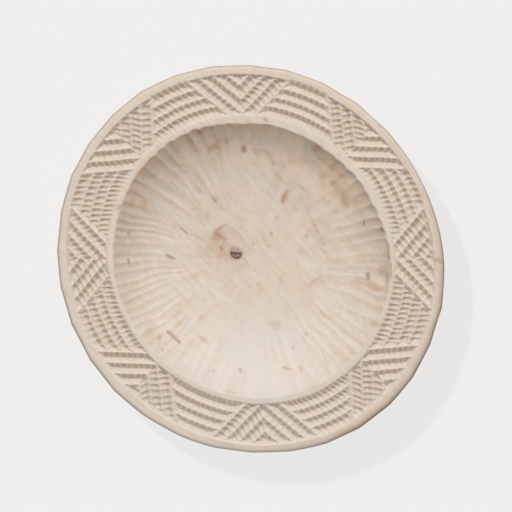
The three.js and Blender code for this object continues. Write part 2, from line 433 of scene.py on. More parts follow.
def soft_least(first, second, softness):
    """The lower of two heights, with the corner between them rounded over about `softness`."""
    gap = np.clip(np.abs(first - second) / softness, 0, 30)
    return np.minimum(first, second) - softness * np.log1p(np.exp(-gap))


def seen_top(radius, angle, carved=0):
    """Height of the whole top: the lower of rim and bowl, with a slightly worn lip between them."""
    return soft_least(rim_height(radius, angle) - carved, bowl_height(radius, angle), LIP_WEAR)


def underside_height(radius, angle):
    """Height of the underside: the level foot, then a full curve out to the rim, with adze marks."""
    way = np.clip((radius - FOOT_RADIUS) / (ROUND_CENTRE - FOOT_RADIUS), 0, 1)
    rise = (RIM_TOP - RIM_THICKNESS) * (1 - (1 - way) ** UNDERSIDE_FULLNESS)
    place = ADZE_MARKS * angle / TURN + 0.3 * wander(angle / TURN * 40, 61, 40)
    marks = ADZE_DEPTH * arch(place) + 0.2 * (1 + patches(*flat_place(radius, angle), 15, 62))
    return rise + marks * np.sin(np.pi * way) ** 0.7


def edge_reach(angle):
    """How far the rim's edge lies outside its circle: 32 flats, each a shallow curve between corners."""
    place = (angle - FIRST_FLAT_CORNER) * RIM_FLATS / TURN
    flat = np.floor(place)
    across = place - flat
    flat = flat.astype(int) % RIM_FLATS
    corners = mixed(CORNER_REACH[flat], CORNER_REACH[(flat + 1) % RIM_FLATS], across)
    return corners - FLAT_HOLLOW[flat] * arch(place)


# Meshes

def placed(name, data):
    """An object at the origin that shows a mesh, a lamp or a camera."""
    holder = bpy.data.objects.new(name, data)
    bpy.context.scene.collection.objects.link(holder)
    return holder


def make_piece(name, points, quads, others, hidden, finish, marks):
    """A mesh from points in millimetres, four-sided faces, and faces of other kinds. The faces marked
    hidden are flat, so that they take no part in the shading of their neighbours. Faces are turned
    outward by the sign of the volume that they close."""
    corners = points[quads]
    diagonal_a, diagonal_b = corners[:, 2] - corners[:, 0], corners[:, 3] - corners[:, 1]
    volume = np.einsum("ij,ij->", corners.mean(1), np.cross(diagonal_a, diagonal_b))
    if volume < 0:
        quads = quads[:, ::-1]
        others = [face[::-1] for face in others]
    mesh = bpy.data.meshes.new(name)
    mesh.vertices.add(len(points))
    mesh.vertices.foreach_set("co", (points * MM).astype(np.float32).ravel())
    sizes = np.concatenate([np.full(len(quads), 4), [len(face) for face in others]]).astype(np.int32)
    corner_points = np.concatenate([quads.ravel(), *others]).astype(np.int32)
    mesh.loops.add(len(corner_points))
    mesh.loops.foreach_set("vertex_index", corner_points)
    mesh.polygons.add(len(sizes))
    mesh.polygons.foreach_set("loop_start", (np.cumsum(sizes) - sizes).astype(np.int32))
    flat = np.concatenate([hidden, np.ones(len(others), bool)])
    mesh.polygons.foreach_set("use_smooth", ~flat)
    mesh.update(calc_edges=True)
    corner_edges = np.empty(len(corner_points), np.int32)
    mesh.loops.foreach_get("edge_index", corner_edges)
    sharp = np.zeros(len(mesh.edges), bool)
    sharp[corner_edges[np.repeat(flat, sizes)]] = True
    mesh.edges.foreach_set("use_edge_sharp", sharp)
    for label, values in marks.items():
        layer = mesh.attributes.new(label, "FLOAT", "POINT")
        layer.data.foreach_set("value", values.astype(np.float32).ravel())
    mesh.materials.append(finish)
    return placed(name, mesh)


def grid_quads(columns, rows, joined_columns, joined_rows):
    """Corner numbers of the quads of a grid of points numbered column by column."""
    column = np.arange(columns if joined_columns else columns - 1)[:, None]
    row = np.arange(rows if joined_rows else rows - 1)[None, :]
    start, after = column * rows, (column + 1) % columns * rows
    next_row = (row + 1) % rows
    quads = np.stack([start + row, after + row, after + next_row, start + next_row], axis=-1)
    return quads.reshape(-1, 4)


def capped_piece(name, x, y, heights, middles, hidden_row, finish, marks):
    """A mesh of rings whose two ends close in fans of triangles, each about a middle point of its own.
    The middles come after the other points."""
    columns, rows = x.shape
    points = np.concatenate([np.stack([x, y, heights], axis=-1).reshape(-1, 3), middles])
    start = np.arange(columns) * rows
    after = np.roll(start, -1)
    fans = [
        *np.stack([after, start, np.full(columns, columns * rows)], 1),
        *np.stack([start + rows - 1, after + rows - 1, np.full(columns, columns * rows + 1)], 1),
    ]
    quads = grid_quads(columns, rows, True, False)
    return make_piece(name, points, quads, fans, np.tile(hidden_row, columns), finish, marks)


def round_turn(columns):
    """Even angles over a whole turn."""
    return np.arange(columns) / columns * TURN


def steps(start, end, pitch):
    """Even steps from start to end, about `pitch` apart."""
    return np.linspace(start, end, max(2, int(round(abs(end - start) / pitch)) + 1))


def across_cut(start, end):
    """Heights inside the cut between two meshes, on the straight way from one height to the other."""
    return mixed(start, end, CUT_STEPS)


def carried_round(radii, around, heights):
    """Points on the oval plate from radii, angles and heights on the round one."""
    return np.stack([*drawn_to_oval(*flat_place(radii, around)), heights], axis=-1)


def worn(depth):
    """A grid of depths averaged with its neighbours, which rounds sharp ridges as wear does."""
    beside = (np.roll(depth, 1, 0) + np.roll(depth, -1, 0)) / 4 + depth / 2
    padded = np.pad(beside, ((0, 0), (1, 1)), mode="edge")
    return (padded[:, :-2] + padded[:, 2:]) / 4 + beside / 2


# Stains and rubs, each a soft line from one place to another: x, y, x, y, half width, strength
TAN_STAINS = [
    (-90.3, 37.2, -85.2, 54.9, 3, 0.8), (-90, 32.5, -90.3, 38.3, 2, 0.8),
    (-109.6, 38.1, -105.6, 41.2, 2, 0.6), (-108.6, 29.3, -102.7, 28.4, 2.5, 0.5),
    (-98.7, 29.2, -95.2, 30.5, 2.5, 0.45), (-108.1, 4.2, -96.1, 11.2, 2.5, 0.35),
    (-99, -1.8, -90.5, 3.8, 2.5, 0.45), (-77.8, 6.7, -70.2, 6.5, 2.5, 0.6),
    (-61, 10.4, -55.2, 11.8, 1.8, 0.7), (-55.2, 11.8, -44.6, 10, 1.8, 0.4),
    (-69.2, -2.3, -63.4, -0.8, 2.5, 0.4), (-63.6, -8.4, -59.2, -2.4, 1.8, 0.65),
    (-59.6, -7.7, -46.3, -3, 3, 0.4), (-95.2, -34.4, -90.2, -30.1, 3, 0.5),
    (-64.5, -29, -58.8, -25.2, 2.5, 0.4), (-52.4, -24.3, -38.1, -17.2, 1.5, 0.45),
    (-79, -77.3, -72.1, -69.1, 1.8, 0.55), (-26.7, -3, -22, 1.6, 1.5, 0.4),
    (-33.1, -10.6, -22.4, -16, 5, 0.6), (-21.3, -12.4, -12, -12, 4, 0.35),
    (-30.8, 15.3, -27.2, 14.2, 2.5, 0.35), (-32.9, 23.9, -24.3, 28.4, 2, 0.3),
    (-62.8, 63.6, -60.4, 69.2, 1, 0.7), (-60.4, 69.2, -54.3, 70.4, 1, 0.7),
    (-54.3, 70.4, -50.7, 68.2, 1, 0.7), (-61, 64.2, -57.9, 60.3, 1.2, 0.6),
    (-64.5, 62.9, -62.2, 64.2, 2, 0.6), (-41.3, 79.7, -34.3, 81.2, 3, 0.45),
    (-32.3, 88.3, -28.7, 87.3, 2.5, 0.4), (-13.7, 91.5, -10.1, 90.5, 2.5, 0.4),
    (-27.7, 63.9, -20.1, 64.9, 2.5, 0.5), (-24.4, 69.9, -12.3, 72.2, 1.2, 0.6),
    (-45.8, 63.7, -27.7, 63.9, 1.2, 0.35), (5, 92.3, 15.5, 92.8, 5, 0.7),
    (9.6, 94.9, 17.3, 92.3, 1.3, 0.7), (-7.2, 49.7, -4.5, 56.2, 1.5, 0.45),
    (7.6, 60.8, 18.3, 56.6, 1, 0.45), (18.3, 56.6, 23, 55.7, 1.3, 0.95),
    (-20.5, 67.5, -8, 65.5, 1.1, 0.45), (-8, 65.5, 7.6, 60.8, 1, 0.4),
    (27.7, 54.7, 30.7, 53.1, 2, 0.5), (33.8, 49.1, 40.3, 48.8, 1.1, 0.7),
    (40.3, 48.8, 44.5, 46.1, 1.1, 0.6), (22.7, 35.8, 25.1, 35.9, 2.5, 0.35),
    (41.2, 68.2, 52.6, 88, 2, 0.3), (48.5, 21.1, 49.2, 31.7, 2, 0.9),
    (46.4, 16.4, 49, 24.1, 3, 0.5), (51.7, 28.3, 54.2, 37.2, 4, 0.35),
    (71.7, 13.4, 83.8, 18, 1.8, 0.75), (46.5, 14, 67.5, 15, 1.8, 0.35),
    (83.8, 18, 103.6, 18.9, 1.8, 0.35), (69.5, 49, 81.4, 58.3, 2.5, 0.6),
    (81.4, 58.3, 90, 62.8, 3, 0.7), (60.2, 62, 75.7, 81.4, 1.5, 0.45),
    (93.3, 53, 96.7, 56.6, 2, 0.5), (97.1, 46.1, 101.7, 48.7, 2, 0.4),
    (83.6, 33.8, 87.3, 31.6, 2.5, 0.4), (108, 39.6, 110.8, 41.5, 2, 0.6),
    (101.2, 21.1, 112.9, 20.5, 2, 0.5), (108, 11.5, 115.7, 10.1, 2, 0.5),
    (97.8, -8.3, 107.9, -11.9, 1.3, 0.65), (75.8, -12.8, 97.6, -17, 1.2, 0.35),
    (51.7, -23.2, 55.1, -20.7, 3.2, 0.4), (18.8, -7.7, 26.1, -13.2, 2, 0.4),
    (27.5, 6.7, 34.7, 2.4, 2, 0.3), (48.3, 0.1, 52.4, 0.8, 2.5, 0.3),
    (110.7, -35.8, 112.9, -31, 2, 0.35), (8, -66.1, 8.2, -58.5, 1.6, 0.55),
    (8.2, -58.5, 8.8, -46.7, 1.6, 0.5), (-2.4, -83.5, -0.8, -79.4, 2, 0.35),
    (-13.7, -104.5, -15.4, -92.9, 1.4, 0.45), (-15.4, -92.9, -11.2, -83.3, 1.4, 0.4),
    (-11.2, -83.3, -9, -54, 1.6, 0.35), (19.5, -87.8, 17.8, -76.2, 1.6, 0.4),
    (21.1, -98.3, 19.7, -92.5, 1.6, 0.35), (66.3, -89.2, 74.2, -83, 1.8, 0.5),
    (-3.1, -15.7, -1.3, -15, 2, 0.4), (-21.7, -44.6, -20.7, -41, 2, 0.4),
    (61.6, 83.1, 67.2, 86.9, 3, 0.3), (-17.2, 104.8, -4.4, 106.5, 6, 0.4),
]
BROWN_STAINS = [
    (-36.2, -7.8, -27, -4, 3.2, 0.85), (-36.2, -7.8, -36.5, 0.4, 1.8, 0.75),
    (-36.5, 0.4, -34.7, 4.3, 1.5, 0.45), (-34.7, 4.3, -21.1, 7.5, 1.2, 0.3),
    (-21.1, 7.5, -15.1, 5.4, 1.2, 0.25), (-34, -4, -29, 0.5, 4.5, 0.32),
    (-90.3, 37.2, -89.9, 41.3, 1.5, 0.5), (-59.3, 11.1, -54.6, 11.3, 1, 0.5),
    (-31.4, 102.1, -29.4, 102.5, 3.5, 0.6), (-21.2, 101.7, -11.3, 103.9, 4, 0.25),
    (18.1, -74.3, 27, -73, 1.9, 0.45), (-4, -98.8, -2.8, -99.9, 1.3, 0.55),
    (-0.7, -102.5, 0.1, -102.9, 0.9, 0.5), (4.9, -103.7, 6, -104.3, 1, 0.45),
    (83.5, -41.1, 89.7, -36.7, 1.3, 0.6), (92.3, -29, 97.1, -31.1, 1.3, 0.35),
    (77.4, -23.2, 78.3, -23.5, 1.1, 0.3), (61.3, -67.8, 62.8, -68.6, 1.3, 0.6),
    (47, -84.6, 47.5, -84.6, 0.9, 0.5), (-76.4, 87.2, -78.5, 87.4, 1.2, 0.7),
    (-105.9, -50.4, -105.3, -52.1, 1.6, 0.8), (-84.2, -60.3, -83.2, -60.4, 1.2, 0.7),
    (78.2, 76.9, 80.1, 74, 3, 0.5), (69.2, 121, 71, 121.4, 1.2, 0.7),
    (80, 117.6, 81.8, 116, 1.2, 0.75), (67.3, 93, 77.8, 83.7, 0.9, 0.7),
    (80, 83.7, 88.8, 76.2, 0.8, 0.6), (82.9, 77.1, 91.8, 68.4, 1, 0.5),
    (-72.5, 58.4, -70.5, 56.9, 1.7, 0.95), (39.3, 91.2, 42.9, 87.9, 0.8, 0.75),
    (54.2, 97.1, 56, 96.6, 1.3, 0.7), (-11.4, 38.9, -9.6, 38.4, 1.2, 0.5),
    (1, 18.7, 1.9, 18.5, 1.2, 0.4), (16.4, 47.8, 17.6, 47.6, 1.2, 0.75),
    (103.5, 113.1, 107, 114.4, 1.4, 0.8), (-6.2, -10.6, 2.9, -5.5, 3, 0.15),
    (-18.1, 52.6, -20.4, 57.2, 2.1, 0.8), (-20.4, 57.2, -21.4, 61.3, 1.6, 0.7),
    (-33.2, -11.6, -24.4, -9.2, 5.5, 0.34), (-30.6, 136, -29.4, 136.2, 1, 0.75),
    (-36.3, 141.2, -35.1, 141.4, 0.9, 0.7), (-22, 138.4, -20.8, 138.6, 0.9, 0.6),
]
DARK_STAINS = [
    (-50.2, -49.3, -43, -46.6, 1.4, 0.62), (-2.6, -91.1, 11.4, -89.7, 1.6, 0.6),
    (-5, 27.5, -3.6, 26.9, 1, 0.55), (-6.1, 19.6, -3, 19.3, 1, 0.28),
    (-48, 68, -44.8, 67.3, 1.1, 0.45), (-58.3, 55, -55.4, 55.7, 0.8, 0.35),
    (-58.5, -25.5, -51.8, -24.3, 0.9, 0.55), (-24.9, -11.4, -22.5, -11.9, 1, 0.45),
    (-68.2, -75.3, -66.1, -76.1, 1, 0.65), (-8.5, 9.9, -8, 10, 0.8, 0.5),
    (74.4, 63.5, 77.3, 61.2, 1.8, 0.7), (76.3, -7.9, 77.1, -8.1, 1, 0.35),
    (-33.3, -26.1, -28.8, -23.6, 3.5, 0.15), (-85.4, -72.6, -82, -68.9, 2, 0.17),
    (-5.9, -4.1, 0.8, -4.1, 0.6, 0.22), (-10.6, 153, -7.7, 153.2, 1.2, 0.2),
    (52.2, -22.6, 55.1, -21.9, 2.5, 0.15),
]
PALE_RUBS = [
    (-37, -42.9, 17.3, -38.8, 0.9, 0.35), (-35.3, -39.9, 18.9, -35.8, 0.8, 0.3),
    (-15.1, -41.7, -13.3, -41.6, 1.6, 0.7), (14.4, -40.6, 9.8, -16.3, 0.9, 0.3),
    (-13, -91, -7, -86, 5, 0.45), (8.3, 5.3, 50.6, 0.2, 1.2, 0.15),
    (29.5, 28.5, 40.7, 38.3, 3, 0.35), (61.6, 17, 84.9, 18.1, 2, 0.3),
    (7.5, 63.2, 11.5, 78.6, 4, 0.3), (20.6, 70.2, 26.9, 86.9, 4, 0.25),
]

# Narrow cuts and worm tracks: x, y, x, y, half width, depth
DENTS = [
    (-50.4, -49.7, -42.1, -46.1, 0.8, 0.45), (-22, 60.4, -17.2, 51, 1.5, 0.12),
    (-6.8, -3.9, -1.5, -4.3, 0.5, 0.15), (-60.8, -25.6, -48.3, -23.6, 0.6, 0.25),
    (-37.5, -8.5, -31, -5.5, 1.2, 0.2), (-2, -90.5, 11, -89.6, 1.2, 0.5),
]

# Where the finish changes with the picture's direction: strength, direction, reach of each part
STREAKED_WALL = ((0.2, 105, 60), (0.2, 310, 60))
SHADE_UNDER_LIP = ((0.5, 335, 75), (0.12, 65, 55), (0.2, 262, 50))
GRIMY_LIP = ((0.55, 318, 36), (0.3, 92, 26))
PAINTED_WARM_SHADE = ((0.28, 295, 75), (0.1, 15, 50))
WARM_MIDDLE = (0.22, 325, 120)
WARM_CLOUDS = (0.42, 45, 80)
WARM_BORDER = ((0.2, 60, 130), (0.22, 155, 60))
HONEY_AND_PAINTED_LIGHT_WALL = ((0.85, 10, 60), (0.6, 50, 50))
HONEY_LIP = (0.4, 92, 35)
PAINTED_LIGHT_LOW_EDGE = (1, 185, 55)
PALER_INNER_BORDER = ((0.16, 45, 60), (0.16, 265, 60))
PALER_BORDER = (0.14, 232, 50)
LESS_SCRAPED = (0.5, 185, 60)
LESS_EDGE_LINE = (0.9, 185, 60)
LESS_PAINTED_SHADE = (0.4, 180, 100)
UPPER_RIM_SHADE = (0.1, 0, 130)
GREY_SIDE = (1, 180, 80)

# How steep a slope is that takes all of the painted shade, and how stains end
FULL_SHADE_SLOPE = 0.52
LONG_STAIN = (1.5, 4)
STAIN_END = 2.1


def stroke_distance(x, y, x0, y0, x1, y1):
    """Distance from a straight stroke, and how far along it the nearest place is, from 0 to 1."""
    along = ((x - x0) * (x1 - x0) + (y - y0) * (y1 - y0)) / ((x1 - x0) ** 2 + (y1 - y0) ** 2)
    along = np.clip(along, 0, 1)
    return np.hypot(x - x0 - along * (x1 - x0), y - y0 - along * (y1 - y0)), along


def stained(x, y, strokes, ragged):
    """Strength of a set of stains: each fades away from its own stroke, is slimmer at its two ends if
    it is long, and has its outline broken up by noise."""
    total = np.zeros(np.shape(x))
    for x0, y0, x1, y1, width, most in strokes:
        away, along = stroke_distance(x, y, x0, y0, x1, y1)
        slimming = 0.5 * smooth(*LONG_STAIN, math.hypot(x1 - x0, y1 - y0) / width)
        away = away / (width * (1 - slimming * (1 - 2 * along) ** 2)) + ragged
        total = np.maximum(total, most * (1 - smooth(0, STAIN_END, away)))
    return total


def dents(x, y):
    """Depth of the narrow cuts: each is a soft trough along its own short line."""
    x, y = drawn_to_oval(x, y)
    depth = np.zeros(x.shape)
    for x0, y0, x1, y1, width, deepest in DENTS:
        away = stroke_distance(x, y, x0, y0, x1, y1)[0]
        depth = np.maximum(depth, deepest * (1 - smooth(0, width * 1.5, away)))
    return depth


def painted_shade_side(radius, angle, height):
    """How far a slope faces the picture's bottom, away from the key lamp, for the painted shade there:
    its fall that way, eased from 0 where level to 1 at the full-shade slope."""
    outward = np.gradient(height, axis=1) / np.gradient(radius, axis=1)
    around = (np.roll(height, -1, 0) - np.roll(height, 1, 0)) / (2 * radius * (angle[1, 0] - angle[0, 0]))
    turn = angle - math.atan2(UP_Y, UP_X)
    return smooth(0, FULL_SHADE_SLOPE, outward * np.cos(turn) - around * np.sin(turn))


def tan_field(x, y, radius, angle, ragged, scrape, in_bowl):
    """How tan the wood is: stains, streaks that run outward, grime at the lip and painted shade under it,
    a warmer, darker tone painted as shade on the wall's upper left and top, and a warmer tone in the
    middle, in clouds on the upper right and on the outer border."""
    streaks = along_radii(radius, angle, 90, 26, 83) + 0.6 * along_radii(radius, angle, 210, 17, 84)
    streaks = np.clip(streaks * 1.05 - 0.12, 0, 1) * smooth(38, 70, radius) * in_bowl
    streaks = streaks * (0.2 + by_direction(angle, *STREAKED_WALL))
    below_lip = smooth(BOWL_RADIUS - 45, BOWL_RADIUS - 3, radius)
    # Painted shade: the wall under the lip is painted darker, most where it faces away from the key lamp
    lip_grime_and_painted_shade = by_direction(angle, *SHADE_UNDER_LIP) * below_lip ** 4 * in_bowl
    lip_grime_and_painted_shade = lip_grime_and_painted_shade + by_direction(angle, *GRIMY_LIP) * np.exp(-((radius - BOWL_RADIUS - 0.5) / 2.4) ** 2)
    # Painted shade: the wall's upper left and top are painted warmer and darker
    warm = by_direction(angle, *PAINTED_WARM_SHADE) * smooth(66, 100, radius) * in_bowl
    warm = warm + 0.14 * np.clip(-scrape - 0.1, 0, 1)
    warm = warm + (0.15 + by_direction(angle, WARM_MIDDLE)) * (1 - smooth(20, 75, radius))
    clouds = np.clip(patches(x, y, 17, 88) + 0.5 * patches(x, y, 6, 89) - 0.1, 0, 1)
    warm = warm + clouds * by_direction(angle, WARM_CLOUDS) * smooth(35, 70, radius) * in_bowl
    warm = warm + by_direction(angle, *WARM_BORDER) * smooth(BAND_OUTER, BAND_OUTER + 3, radius)
    tan = stained(x, y, TAN_STAINS, 1.2 * ragged) + streaks + lip_grime_and_painted_shade * (0.8 + 0.5 * ragged)
    return np.clip(tan + warm * (1 + 0.5 * patches(x, y, 19, 85)), 0, 1)


def honey_and_painted_light_field(radius, angle, painted_light_edge):
    """How honey-coloured the wood is, partly as painted light: the upper wall on the picture's upper
    right, painted lighter and yellower where it lies in the key lamp's shade, and painted light on the
    low edge.
    """
    honey_and_painted_light = by_direction(angle, *HONEY_AND_PAINTED_LIGHT_WALL) + by_direction(angle, HONEY_LIP) * smooth(95, 104, radius)
    return honey_and_painted_light * between(radius, 68, 92, 108, 113.5) + 0.5 * painted_light_edge


def edge_field(radius, angle):
    """How dark the edge is painted: a thin line at the very edge, and a painted shade on the lower right,
    where the rounded edge turns away from the key lamp.
    """
    line = smooth(MEAN_RADIUS - 1.6, MEAN_RADIUS - 0.1, radius)
    line = line * (1 - by_direction(angle, LESS_EDGE_LINE))
    shade = np.maximum(near(angle, 112, 60), 1.2 * near(angle, 142, 34))
    return np.clip(0.7 * line + 0.65 * shade * smooth(BAND_OUTER + 1, MEAN_RADIUS, radius), 0, 1)


def mark_fields(radius, angle, upper, depth=0, painted_shade=0):
    """The finish's values at each point: how deep in a groove it lies, how much painted shade it takes on
    slopes that face the picture's bottom and on the rim toward the picture's top, how tan, grey and
    honey-coloured it is, with painted shade under the lip and painted light on the upper wall, how strong
    its stains, rubs and painted light on the low edge are, and how dark its edge is painted. Points with
    `upper` 1 are on the seen side, and those with 0 are underneath, where nothing is stained."""
    x, y = drawn_to_oval(*flat_place(radius, angle))
    ragged = 0.4 * patches(x, y, 3.1, 81) + 0.4 * patches(x / 3, y, 2.1, 82)
    in_bowl = 1 - smooth(BOWL_RADIUS - 0.5, BOWL_RADIUS + 2, radius)
    on_border = smooth(BAND_OUTER - 2, BAND_OUTER + 2, radius)
    on_inner_border = between(radius, BOWL_RADIUS, BOWL_RADIUS + 2, BAND_INNER - 2, BAND_INNER)
    # Painted light: the low edge at the picture's bottom is painted paler where it turns away from the
    # key lamp
    painted_light_edge = smooth(MEAN_RADIUS - 3.5, MEAN_RADIUS - 0.5, radius) * by_direction(angle, PAINTED_LIGHT_LOW_EDGE)
    scrape = along_radii(radius, angle, 230, 10, 86) + 0.7 * along_radii(radius, angle, 120, 27, 87)
    scrape = scrape * smooth(12, 45, radius) * in_bowl * (1 - by_direction(angle, LESS_SCRAPED))
    paling_and_painted_light = 0.13 * np.clip(scrape - 0.1, 0, 1) + 0.7 * painted_light_edge
    paling_and_painted_light = paling_and_painted_light + on_inner_border * by_direction(angle, *PALER_INNER_BORDER)
    paling_and_painted_light = paling_and_painted_light + on_border * by_direction(angle, PALER_BORDER)
    from_knot = np.hypot((x - KNOT_X) / KNOT_HALF_LENGTH, (y - KNOT_Y) / KNOT_HALF_WIDTH)
    halo = 0.16 * (1 - smooth(1, 2.4, from_knot))
    halo = halo + 0.4 * (1 - smooth(0.9, 1.45, from_knot + 0.3 * ragged))
    # Painted shade: the rim is painted darker toward the picture's top
    upper_rim = by_direction(angle, UPPER_RIM_SHADE) * (1 - in_bowl)
    grey = by_direction(angle, GREY_SIDE) * smooth(25, 70, radius) * (0.4 + 0.6 * in_bowl)
    marks = {
        "painted_shade": np.maximum(painted_shade * (1 - by_direction(angle, LESS_PAINTED_SHADE)), upper_rim),
        "tan": tan_field(x, y, radius, angle, ragged, scrape, in_bowl),
        "grey": grey * (1 - on_border),
        "brown": np.maximum(0.9 * stained(x, y, BROWN_STAINS, 0.6 * ragged), halo),
        "dark": 0.9 * stained(x, y, DARK_STAINS, 0.3 * ragged),
        "honey_and_painted_light": honey_and_painted_light_field(radius, angle, painted_light_edge),
        "pale": np.maximum(0.8 * stained(x, y, PALE_RUBS, 0.5 * ragged), paling_and_painted_light),
    }
    marks = {label: values * upper for label, values in marks.items()}
    # Depth share, used for painted shade in hollows and for dirt specks
    marks["hollow"] = np.clip(depth / GROOVE_DEPTH, 0, 1.3) + 0 * radius
    marks["edge"] = edge_field(radius, angle)
    return marks


def rim_pieces(finish):
    """The rim in four quarters. Each is one closed loop of points, over the top, round the edge, back
    along the underside and up the cut where it meets the bowl, carried round a quarter turn."""
    columns = RIM_QUARTER_COLUMNS * RIM_QUARTERS
    angle = round_turn(columns)
    margin = 1.2
    top = np.concatenate([
        steps(RIM_SEAM, BAND_INNER - margin, 0.5)[:-1],
        steps(BAND_INNER - margin, BAND_OUTER + margin, 0.37),
        steps(BAND_OUTER + margin, ROUND_CENTRE, 0.5)[1:],
    ])
    under = steps(ROUND_CENTRE, RIM_SEAM, 2.2)
    upper_bend, lower_bend = steps(90, 0, 11)[1:], steps(0, -90, 15)[:-1]
    bend = np.radians(np.concatenate([upper_bend, lower_bend]))
    bend_centre = np.concatenate([
        np.full(len(upper_bend), RIM_TOP - OUTER_FALL - EDGE_ROUNDING),
        np.full(len(lower_bend), RIM_TOP - RIM_THICKNESS + EDGE_ROUNDING),
    ])

    first_under = len(top) + len(bend)
    first_cut = first_under + len(under) - 1
    round_bend = ROUND_CENTRE + EDGE_ROUNDING * np.cos(bend)
    line = np.concatenate([top, round_bend, under, np.full(len(CUT_STEPS), RIM_SEAM)])
    rows = len(line)
    radii, around = np.meshgrid(line, angle)
    top_radii, top_around = radii[:, :len(top)], around[:, :len(top)]

    depth, beads = carved_depth(top_radii, top_around)
    depth = worn(worn(depth))
    top_height = seen_top(top_radii, top_around, depth)
    under_height = underside_height(*np.meshgrid(under, angle))
    edge_drop = waves(*flat_place(ROUND_CENTRE, angle), RIM_WAVES)[:, None] * np.clip(np.sin(bend), 0, 1)
    heights = np.concatenate([
        top_height,
        bend_centre + EDGE_ROUNDING * np.sin(bend) - edge_drop,
        under_height,
        across_cut(under_height[:, -1:], top_height[:, :1]),
    ], axis=1)
    depths, painted_shade = np.zeros(radii.shape), np.zeros(radii.shape)
    depths[:, :len(top)] = depth
    # Painted shade: slopes that face the picture's bottom are painted darker, most in the middle of each
    # chip, and deep chips a little darker all over
    shaded_beads = 0.2 * beads * np.clip(depth / 2.2, 0, 1)
    painted_shade[:, :len(top)] = painted_shade_side(top_radii, top_around, top_height) * (0.1 + 1.3 * beads) + shaded_beads

    outness = smooth(BAND_OUTER, ROUND_CENTRE, radii)
    outness[:, first_under:] = smooth(RIM_SEAM, ROUND_CENTRE, radii[:, first_under:])
    points = carried_round(radii + edge_reach(around) * outness, around, heights)
    marks = mark_fields(radii, around, np.arange(rows) < first_under, depths, painted_shade)
    made = []
    for quarter in range(RIM_QUARTERS):
        first = quarter * RIM_QUARTER_COLUMNS
        taken = np.arange(first, first + RIM_QUARTER_COLUMNS + 1) % columns
        quads = grid_quads(len(taken), rows, False, True)
        hidden = np.tile(np.arange(rows) >= first_cut, len(taken) - 1)
        ends = [np.arange(rows), (len(taken) * rows - 1) - np.arange(rows)]
        own = {label: values[taken].ravel() for label, values in marks.items()}
        name = f"carved_rim_{quarter + 1}"
        made.append(make_piece(name, points[taken].reshape(-1, 3), quads, ends, hidden, finish, own))
    return made


def bowl_wall(finish):
    """The bowl's wall as a ring: over its top from the floor's seam to the rim's, down the cut, back
    along the underside and the foot, and up the inner cut."""
    angle = round_turn(BOWL_COLUMNS)
    top = np.concatenate([steps(FLOOR_SEAM, 96, 0.62)[:-1], steps(96, RIM_SEAM, 0.4)])
    under = np.concatenate([steps(RIM_SEAM, FOOT_RADIUS, 2.6), steps(FOOT_RADIUS, FLOOR_SEAM, 6)[1:]])
    top_height = seen_top(*np.meshgrid(top, angle))
    under_height = underside_height(*np.meshgrid(under, angle))
    outer_cut = across_cut(top_height[:, -1:], under_height[:, :1])
    inner_cut = across_cut(under_height[:, -1:], top_height[:, :1])
    heights = np.concatenate([top_height, outer_cut, under_height, inner_cut], axis=1)
    in_cut = len(CUT_STEPS)
    line = np.concatenate([top, np.full(in_cut, RIM_SEAM), under, np.full(in_cut, FLOOR_SEAM)])
    radii, around = np.meshgrid(line, angle)
    row = np.arange(len(line))
    in_outer_cut = (row >= len(top) - 1) & (row < len(top) + in_cut)
    hidden_row = in_outer_cut | (row >= len(line) - in_cut - 1)
    marks = mark_fields(radii, around, row < len(top))
    marks = {label: values.ravel() for label, values in marks.items()}
    points = carried_round(radii, around, heights).reshape(-1, 3)
    quads = grid_quads(BOWL_COLUMNS, len(line), True, True)
    return make_piece("bowl_wall", points, quads, [], np.tile(hidden_row, BOWL_COLUMNS), finish, marks)


